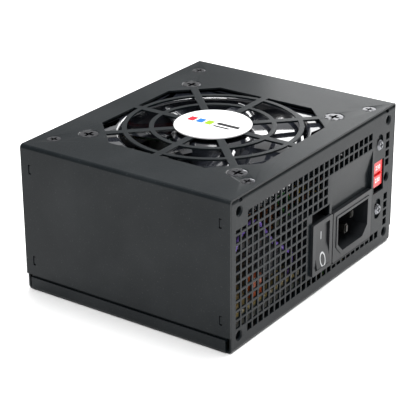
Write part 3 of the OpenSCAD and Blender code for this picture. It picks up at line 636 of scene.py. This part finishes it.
def finishes(badge_centre: Tuple[float, float], rocker_middle: float) -> Dict[str, Finish]:
    """The finish of each material slot.

    Args:
        badge_centre: Middle of the badge in metres.
        rocker_middle: Middle of the rocker across the mains face.

    Returns:
        Finishes by slot.
    """
    def metal(name: str, colour: Colour, rough: float = 0.3, **more: Any) -> Finish:
        """A bare metal finish."""
        return Finish(name, colour, tuple(c * 0.86 for c in colour), rough, 0.07, 1.0, **more)

    def plastic(name: str, colour: Colour, rough: float = 0.4, **more: Any) -> Finish:
        """A moulded or coated finish."""
        paler = tuple(min(1.0, c * 1.25 + 0.004) for c in colour)
        return Finish(name, colour, paler, rough, 0.06, **more)

    wire = {"grain": Grain.GLOSS, "grain_size": 0.002, "grain_height": 0.00001, "coat": 0.3}
    return {
        "case_paint": PowderCoat("black_powder_coat", (0.0032, 0.0052, 0.0066),
                                 (0.0055, 0.0080, 0.0096), 0.36, 0.05, grain=Grain.POWDER,
                                 grain_size=0.00045, grain_height=0.00006, patch=0.03,
                                 specular=0.05, coat=0.28, coat_rough=0.17),
        "black_screws": metal("black_zinc", (0.06, 0.062, 0.075), 0.16, coat=0.5,
                              grain=Grain.BRUSHED, along=(1, 0, 0)),
        "bright_screws": metal("bright_zinc", (0.20, 0.205, 0.22), 0.26, grain=Grain.BRUSHED,
                               along=(0, 1, 0)),
        "badge": Badge("badge_print", (0.93, 0.93, 0.93), (0.90, 0.90, 0.905), 0.25, 0.03,
                       grain=Grain.GLOSS, grain_size=0.003, grain_height=0.000004, specular=0.3,
                       centre=badge_centre),
        "fan_plastic": plastic("glossy_fan_black", (0.011, 0.0125, 0.017), 0.14,
                               grain=Grain.GLOSS, grain_size=0.0012, grain_height=0.000006,
                               specular=0.9, coat=1.0, coat_rough=0.05, coat_index=1.75),
        "plated_steel": metal("plated_steel", (0.58, 0.59, 0.61), 0.3, grain=Grain.BRUSHED),
        "magnet": plastic("bonded_magnet", (0.03, 0.028, 0.027), 0.55),
        "bearing_bronze": metal("sintered_bronze", (0.53, 0.36, 0.17), 0.45),
        "copper_wire": metal("enamelled_copper", (0.62, 0.24, 0.09), 0.28, grain=Grain.WOUND,
                             grain_size=0.0006, grain_height=0.00012),
        "green_board": Board("green_board", (0.02, 0.14, 0.06), (0.03, 0.17, 0.07), 0.35,
                             grain=Grain.GLOSS),
        "tan_board": Board("tan_board", (0.36, 0.27, 0.10), (0.43, 0.33, 0.13), 0.45,
                           patch=0.008),
        "black_plastic": plastic("black_nylon", (0.008, 0.009, 0.0105), 0.34, grain_size=0.0003,
                                 grain_height=0.000012, specular=0.3),
        "rocker_plastic": RockerPrint("rocker_black", (0.007, 0.008, 0.009),
                                      (0.010, 0.011, 0.0125), 0.3, 0.04, grain_size=0.0003,
                                      grain_height=0.000008, specular=0.3, middle=rocker_middle),
        "red_plastic": plastic("signal_red", (0.72, 0.018, 0.02), 0.34, grain_height=0.000008,
                               coat=0.2),
        # painted shade: the nickel blades are coloured nearly black, standing for the shade inside
        # the inlet's socket
        "blade_nickel": metal("shaded_nickel_plate", (0.06, 0.059, 0.055), 0.45, grain=Grain.BRUSHED,
                              along=(0, 1, 0)),
        "tinned_brass": metal("tinned_brass", (0.70, 0.68, 0.60), 0.3, grain=Grain.BRUSHED,
                              along=(0, 1, 0)),
        "insulation": plastic("insulation_film", (0.60, 0.60, 0.57), 0.3, grain=Grain.GLOSS,
                              patch=0.012),
        "brass_parts": metal("turned_brass", (0.72, 0.53, 0.22), 0.28, grain=Grain.BRUSHED,
                             along=(1, 0, 0)),
        "fuse_glass": plastic("fuse_body", (0.72, 0.70, 0.62), 0.15, grain=Grain.GLOSS, coat=0.6),
        "thermistor_coat": plastic("thermistor_green", (0.03, 0.10, 0.06), 0.5,
                                   grain_height=0.00004),
        "yellow_case": plastic("yellow_case", (0.75, 0.50, 0.05), 0.35),
        "blue_coat": plastic("blue_epoxy", (0.02, 0.10, 0.42), 0.25, grain_height=0.00003,
                             coat=0.4),
        "ferrite": plastic("grey_ferrite", (0.055, 0.055, 0.06), 0.5, grain_height=0.00003),
        "standby_core": plastic("dark_ferrite", (0.05, 0.048, 0.05), 0.52, grain_height=0.00003),
        "epoxy_package": plastic("epoxy_package", (0.02, 0.02, 0.021), 0.45),
        "capacitor_sleeve": Sleeve("capacitor_sleeve", (0.012, 0.014, 0.02), (0.018, 0.02, 0.028),
                                   0.28, 0.05, grain=Grain.GLOSS, coat=0.2),
        "heatsink_aluminium": metal("rolled_aluminium", (0.74, 0.75, 0.77), 0.33,
                                    grain=Grain.BRUSHED, along=(0, 1, 0), grain_height=0.00003),
        "yellow_tape": Tape("yellow_tape", (0.78, 0.56, 0.06), (0.82, 0.62, 0.10), 0.3, 0.05,
                            grain=Grain.WOUND, grain_size=0.0042, grain_height=0.0001),
        "powdered_iron": plastic("powdered_iron_yellow", (0.62, 0.50, 0.12), 0.55,
                                 grain_height=0.00004),
        "orange_film": plastic("orange_film", (0.42, 0.08, 0.02), 0.25, grain=Grain.GLOSS,
                               coat=0.4),
        "nylon": plastic("natural_nylon", (0.70, 0.69, 0.62), 0.4),
        "green_wire": plastic("green_insulation", (0.06, 0.32, 0.07), 0.35, **wire),
        "mains_wire": plastic("brown_insulation", (0.20, 0.07, 0.03), 0.35, **wire),
        "fan_wire": plastic("red_insulation", (0.45, 0.03, 0.03), 0.35, **wire),
        "purple_wire": plastic("purple_insulation", (0.22, 0.12, 0.55), 0.3, **wire),
    }


# ---- Mesh work ----------------------------------------------------------------------------


def only(piece: bpy.types.Object) -> None:
    """Makes one object the only selected and active one."""
    bpy.ops.object.select_all(action="DESELECT")
    piece.select_set(True)
    bpy.context.view_layer.objects.active = piece


def apply_modifier(piece: bpy.types.Object, kind: str, settings: Dict[str, Any]) -> None:
    """Adds a modifier and applies it.

    Args:
        piece: The object.
        kind: Type of the modifier.
        settings: Its settings.
    """
    only(piece)
    made = piece.modifiers.new(kind.lower(), kind)
    for key, value in settings.items():
        setattr(made, key, value)
    bpy.ops.object.modifier_apply(modifier=made.name)


def pick(piece: bpy.types.Object, kind: str, test: Callable[[Any], bool]) -> int:
    """Selects faces or edges in code.

    Args:
        piece: The object, in object mode.
        kind: "FACE" or "EDGE".
        test: Says whether a face or edge is wanted.

    Returns:
        How many were selected.
    """
    only(piece)
    bpy.ops.object.mode_set(mode="EDIT")
    bpy.ops.mesh.select_mode(type=kind)
    bpy.ops.mesh.select_all(action="DESELECT")
    bpy.ops.object.mode_set(mode="OBJECT")
    count = 0
    for part in piece.data.polygons if kind == "FACE" else piece.data.edges:
        if test(part):
            part.select = True
            count += 1
    return count


def merge(piece: bpy.types.Object, threshold: float = 0.000002) -> None:
    """Merges the doubled points of a mesh.

    Args:
        piece: The object.
        threshold: Largest distance that is merged, in metres.
    """
    only(piece)
    bpy.ops.object.mode_set(mode="EDIT")
    bpy.ops.mesh.select_all(action="SELECT")
    bpy.ops.mesh.remove_doubles(threshold=threshold)
    bpy.ops.object.mode_set(mode="OBJECT")


@dataclass(frozen=True)
class Softening:
    """How the edges of a CAD piece are rounded.

    Attributes:
        width: Width of the rounded edge in metres.
        segments: Facets across it.
        sharp: Smallest angle of an edge that is rounded, in degrees.
    """

    width: float = 0.00015
    segments: int = 2
    sharp: float = 32.0

    def copy_of(self, sources: Sequence[bpy.types.Object], name: str,
                shape: Optional[Callable[[bpy.types.Object], None]] = None) -> bpy.types.Object:
        """Copies CAD meshes into one piece and rounds its edges.

        Args:
            sources: The CAD nodes, which stay as they are.
            name: Name of the new piece.
            shape: Extra work on the merged mesh before its edges are rounded.

        Returns:
            The new piece.
        """
        copies = []
        for source in sources:
            copy = bpy.data.objects.new(name, source.data.copy())
            bpy.context.scene.collection.objects.link(copy)
            only(copy)
            if copy.data.has_custom_normals:
                bpy.ops.mesh.customdata_custom_splitnormals_clear()
            copies.append(copy)
        piece = copies[0]
        if len(copies) > 1:
            for copy in copies:
                copy.select_set(True)
            bpy.context.view_layer.objects.active = piece
            bpy.ops.object.join()
        merge(piece)
        bpy.ops.object.mode_set(mode="EDIT")
        bpy.ops.mesh.select_all(action="SELECT")
        bpy.ops.mesh.tris_convert_to_quads(face_threshold=math.radians(2),
                                           shape_threshold=math.radians(60))
        bpy.ops.object.mode_set(mode="OBJECT")
        if shape is not None:
            shape(piece)
        apply_modifier(piece, "BEVEL", {
            "width": self.width, "segments": self.segments, "limit_method": "ANGLE",
            "angle_limit": math.radians(self.sharp), "use_clamp_overlap": True,
            "miter_outer": "MITER_ARC",
        })
        only(piece)
        bpy.ops.object.shade_smooth_by_angle(angle=math.radians(self.sharp))
        apply_modifier(piece, "WEIGHTED_NORMAL",
                       {"mode": "FACE_AREA", "weight": 100, "keep_sharp": True})
        return piece


# ---- Sub-assemblies --------------------------------------------------------------------------


@dataclass
class SubAssembly:
    """A group of CAD nodes that get finished together.

    Attributes:
        materials: Materials by slot.
        slots: Slot of each CAD node.
        soft: Nodes that are shown by a softened copy, with their edge widths in millimetres.
    """

    frame: Dict[str, Any]
    materials: Dict[str, bpy.types.Material]
    slots: Dict[str, str]
    soft: Dict[str, float] = field(default_factory=dict)

    def body(self, node: str) -> str:
        """The CAD body that a node belongs to."""
        return self.frame["nodes"][node]["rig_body"]

    def dress(self, piece: bpy.types.Object, slot: str) -> None:
        """Gives a piece the material of a slot.

        Args:
            piece: The object.
            slot: The material slot.
        """
        piece.data.materials.clear()
        piece.data.materials.append(self.materials[slot])
        for face in piece.data.polygons:
            face.material_index = 0

    def soften(self) -> None:
        """Shows each listed node by a copy with rounded edges."""
        for node, width in self.soft.items():
            piece = Softening(width * MM).copy_of([self.frame["nodes"][node]], node + "_finished",
                                                  self.shapes().get(node))
            self.place(piece, self.slots[node], self.body(node), node)

    def shapes(self) -> Dict[str, Callable[[bpy.types.Object], None]]:
        """Extra mesh work by node; most groups have none."""
        return {}

    def place(self, piece: bpy.types.Object, slot: str, body: str, *nodes: str) -> None:
        """Dresses a new piece and ties it to its body.

        Args:
            piece: The new piece.
            slot: Its material slot.
            body: The CAD body that it moves with.
            nodes: The CAD nodes that it stands for.
        """
        self.dress(piece, slot)
        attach(piece, body)
        if nodes:
            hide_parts(*nodes)
        LOG.info("%s: %d faces on %s", piece.name, len(piece.data.polygons), body)

    def build(self) -> None:
        """Makes the sub-assembly's pieces."""
        self.soften()


@dataclass
class Case(SubAssembly):
    """Folded base, cover, their screws and the badge.

    Attributes:
        base: CAD nodes that are one folded sheet.
        base_edge: Width of its rounded edges in millimetres.
        floor_height: Height under which the joints between those nodes are closed, in metres.
    """

    soft: Dict[str, float] = field(default_factory=lambda: {
        "top_cover": 0.32, "cover_screws": 0.1, "cable_grommet": 0.3, "grille_badge": 0.12,
    })
    base: Tuple[str, ...] = ("base_tray", "mains_panel", "cable_panel")
    base_edge: float = 0.14
    floor_height: float = 0.001

    def close_joints(self, piece: bpy.types.Object) -> None:
        """Removes the faces inside the sheet where its nodes meet."""
        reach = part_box("base_tray")
        joints = (reach[0].y, reach[1].y)

        def inside(face: Any) -> bool:
            """Whether a face lies in one of the joints."""
            near = min(abs(face.center.y - y) for y in joints)
            return (near < SAME_PLACE and abs(face.normal.y) > 0.99
                    and face.center.z < self.floor_height)

        found = pick(piece, "FACE", inside)
        LOG.info("joints closed: %d faces", found)
        bpy.ops.object.mode_set(mode="EDIT")
        bpy.ops.mesh.delete(type="FACE")
        bpy.ops.object.mode_set(mode="OBJECT")
        merge(piece)

    def build(self) -> None:
        """Makes the case."""
        self.soften()
        nodes = [self.frame["nodes"][node] for node in self.base]
        piece = Softening(self.base_edge * MM).copy_of(nodes, "base_finished", self.close_joints)
        self.place(piece, self.slots[self.base[0]], self.body(self.base[0]), *self.base)


@dataclass
class Fan(SubAssembly):
    """Fan frame, impeller and screws.

    Attributes:
        bore: Radius of the frame's bore in metres.
        flare: Width of its rounded mouth in metres.
        flare_steps: Facets across the mouth.
        bore_play: How far a point on the bore's circle may be off it, in metres.
    """

    soft: Dict[str, float] = field(default_factory=lambda: {
        "fan_frame": 0.3, "fan_impeller": 0.25, "fan_screws": 0.2,
    })
    bore: float = 0.038
    flare: float = 0.0016
    flare_steps: int = 4
    bore_play: float = 0.0001

    def shapes(self) -> Dict[str, Callable[[bpy.types.Object], None]]:
        """The frame's mouth is rounded."""
        return {"fan_frame": self.round_mouth}

    def round_mouth(self, piece: bpy.types.Object) -> None:
        """Rounds the upper edge of the bore into an air intake."""
        low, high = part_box("fan_frame")
        middle = (low + high) / 2
        points = piece.data.vertices

        def on_mouth(edge: Any) -> bool:
            """Whether an edge lies on the bore's upper circle."""
            ends = [points[i].co for i in edge.vertices]
            return all(
                abs(p.z - high.z) < SAME_PLACE
                and abs(math.hypot(p.x - middle.x, p.y - middle.y) - self.bore) < self.bore_play
                for p in ends)

        LOG.info("mouth edges: %d", pick(piece, "EDGE", on_mouth))
        bpy.ops.object.mode_set(mode="EDIT")
        bpy.ops.mesh.bevel(offset=self.flare, offset_type="OFFSET", segments=self.flare_steps,
                           affect="EDGES")
        bpy.ops.object.mode_set(mode="OBJECT")


@dataclass
class MainsFittings(SubAssembly):
    """Inlet, rocker switch and voltage selector.

    Attributes:
        numeral_size: Height of the numerals' type in metres.
        numeral_depth: Thickness of the numerals in metres.
        numeral_swell: How far their outlines are widened, in metres.
    """

    soft: Dict[str, float] = field(default_factory=lambda: {
        "inlet_housing": 0.25, "inlet_blades": 0.12, "switch_housing": 0.25, "switch_rocker": 0.25,
        "selector_housing": 0.15, "selector_slider": 0.2, "selector_screws": 0.2,
    })
    numeral_size: float = 0.0027
    numeral_depth: float = 0.00008
    numeral_swell: float = 0.00004

    def build(self) -> None:
        """Makes the softened pieces and the slider's numerals."""
        self.soften()
        self.numerals()

    def numerals(self) -> None:
        """Prints a voltage on each half of the slider."""
        low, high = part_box("selector_slider")
        middle = (low.x + high.x) / 2
        for name, height in (("upper_numeral", 0.75), ("lower_numeral", 0.25)):
            bpy.ops.object.select_all(action="DESELECT")
            bpy.ops.object.text_add(location=(0, 0, 0))
            piece = bpy.context.object
            piece.name = "selector_" + name
            piece.data.body = "230"
            piece.data.size = self.numeral_size
            piece.data.align_x = "CENTER"
            piece.data.align_y = "CENTER"
            piece.data.extrude = self.numeral_depth / 2
            piece.data.offset = self.numeral_swell
            only(piece)
            bpy.ops.object.convert(target="MESH")
            piece = bpy.context.object
            upright = Matrix.Rotation(math.radians(90), 4, "X")
            spot = (middle, low.y, low.z + (high.z - low.z) * height)
            piece.data.transform(Matrix.Translation(spot) @ upright)
            apply_modifier(piece, "WELD", {"merge_threshold": 0.000001})
            self.place(piece, "badge", "selector")


@dataclass
class PowerParts(SubAssembly):
    """Board, wound parts, capacitors and heat sinks inside the case."""

    soft: Dict[str, float] = field(default_factory=lambda: {
        "bulk_capacitors": 0.5, "output_capacitors": 0.3,
        "primary_heatsink": 0.12, "secondary_heatsink": 0.12, "transformer_core": 0.3,
        "transformer_winding": 0.3, "filter_choke_core": 0.4, "filter_choke_coils": 0.4,
        "output_choke_core": 0.6, "output_choke_coil": 0.4, "film_capacitor": 0.4,
        "x_capacitor": 0.4, "y_capacitors": 0.4, "surge_thermistor": 0.4, "bridge_rectifier": 0.3,
        "standby_transformer": 0.3, "driver_transformer": 0.3,
    })


# ---- Studio --------------------------------------------------------------------------------


@dataclass(frozen=True)
class SoftBox:
    """One soft studio light.

    Attributes:
        name: Name of the light.
        place: Its place in metres.
        size: Width and height in metres.
        power: Its power in watts.
        colour: Its colour.
    """

    name: str
    place: Tuple[float, float, float]
    size: Tuple[float, float]
    power: float
    colour: Colour = (1.0, 1.0, 1.0)

    def build(self, target: Vector) -> None:
        """Adds the light, turned towards a target."""
        data = bpy.data.lights.new(self.name, "AREA")
        data.shape = "RECTANGLE"
        data.size, data.size_y = self.size
        data.energy = self.power
        data.color = self.colour
        lamp = bpy.data.objects.new(self.name, data)
        bpy.context.scene.collection.objects.link(lamp)
        lamp.location = self.place
        lamp.rotation_mode = "QUATERNION"
        lamp.rotation_quaternion = (target - Vector(self.place)).to_track_quat("-Z", "Y")


@dataclass
class Studio:
    """Pale floor, lights and camera.

    Attributes:
        azimuth: Camera's angle round the object, in degrees.
        elevation: Camera's angle above the horizon, in degrees.
        roll: Camera's turn about its own axis, in degrees.
        distance: From the target to the camera, in metres.
        lens: Focal length in millimetres.
        offset: Target's shift to the right and up in the camera's view, in metres.
        target_height: The target's height before that shift, in metres.
        clip: Nearest and farthest distance that the camera shows, in metres.
        floor_size: Side of the floor in metres.
        sky_strength: Strength of the even light.
        aim_height: Height that the lights are turned to, in metres.
        lights: The soft lights.
    """

    azimuth: float = -55.19
    elevation: float = 24.05
    roll: float = -0.3
    distance: float = 0.6407
    lens: float = 133.4
    offset: Tuple[float, float] = (-0.00265, -0.00581)
    target_height: float = 0.03175
    clip: Tuple[float, float] = (0.01, 50)
    floor_size: float = 8.0
    sky_strength: float = 0.5
    aim_height: float = 0.03
    lights: Tuple[SoftBox, ...] = (
        SoftBox("overhead", (0.16, 0.04, 0.85), (0.65, 0.5), 9.0),
        SoftBox("right_rear", (0.85, 0.28, 0.30), (0.4, 0.3), 0.85),
        SoftBox("left_front", (-0.5, -0.35, 1.1), (0.3, 0.24), 8.0),
        SoftBox("right_edge", (0.85, -0.08, 0.66), (0.7, 0.35), 6.0),
    )

    def floor(self) -> None:
        """Adds the floor."""
        bpy.ops.object.select_all(action="DESELECT")
        bpy.ops.mesh.primitive_grid_add(x_subdivisions=8, y_subdivisions=8, size=self.floor_size)
        floor = bpy.context.object
        floor.name = "studio_floor"
        finish = Finish("pale_floor", (0.93, 0.93, 0.93), (0.90, 0.90, 0.90), 0.6, 0.02,
                        grain=Grain.GLOSS, grain_size=0.05, grain_height=0.00001, patch=0.6,
                        specular=0.2)
        floor.data.materials.append(finish.build())

    def sky(self) -> None:
        """Sets the even white light round the object."""
        scene = bpy.context.scene
        scene.world = scene.world or bpy.data.worlds.new("studio")
        scene.world.use_nodes = True
        back = scene.world.node_tree.nodes["Background"]
        back.inputs["Color"].default_value = (1.0, 1.0, 1.0, 1.0)
        back.inputs["Strength"].default_value = self.sky_strength
        scene.view_settings.view_transform = "Standard"

    def camera(self) -> None:
        """Adds the camera."""
        turn, rise = math.radians(self.azimuth), math.radians(self.elevation)
        back = Vector((math.sin(turn) * math.cos(rise), -math.cos(turn) * math.cos(rise),
                       math.sin(rise)))
        right = Vector((math.cos(turn), math.sin(turn), 0))
        up = back.cross(right)
        middle = Vector((0, 0, self.target_height))
        target = middle + right * self.offset[0] + up * self.offset[1]
        data = bpy.data.cameras.new("camera")
        data.lens = self.lens
        data.clip_start, data.clip_end = self.clip
        camera = bpy.data.objects.new("camera", data)
        bpy.context.scene.collection.objects.link(camera)
        roll = math.radians(self.roll)
        side = right * math.cos(roll) + up * math.sin(roll)
        top = up * math.cos(roll) - right * math.sin(roll)
        camera.matrix_world = Matrix.Translation(target + back * self.distance) @ Matrix(
            (side, top, back)).transposed().to_4x4()
        bpy.context.scene.camera = camera

    def build(self) -> None:
        """Builds the whole studio."""
        self.floor()
        self.sky()
        for light in self.lights:
            light.build(Vector((0, 0, self.aim_height)))
        self.camera()


# ---- The whole object -------------------------------------------------------------------------


def slot_of_node(record: Dict[str, Any]) -> Dict[str, str]:
    """Reads which slot each CAD node has.

    Args:
        record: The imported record.

    Returns:
        Slots by node.
    """
    return {entry["node"]: entry["material_slot"] for entry in record["subparts"]}


def main() -> None:
    """Builds the object and its studio."""
    logging.basicConfig(level=logging.INFO, format="%(message)s")
    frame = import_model()
    slots = slot_of_node(frame["record"])
    low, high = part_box("grille_badge")
    rocker_low, rocker_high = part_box("switch_rocker")
    looks = finishes(((low.x + high.x) / 2, (low.y + high.y) / 2),
                     (rocker_low.x + rocker_high.x) / 2)
    materials = {slot: finish.build() for slot, finish in looks.items()}
    kinds = (Case, Fan, MainsFittings, PowerParts)
    groups: List[SubAssembly] = [kind(frame, materials, slots) for kind in kinds]
    for group in groups:
        group.build()
    for node, piece in frame["nodes"].items():
        if not piece.hide_render:
            groups[0].dress(piece, slots[node])
            LOG.info("%s: carried over with finish %s", node, slots[node])
    Studio().build()


if __name__ == "__main__":
    main()
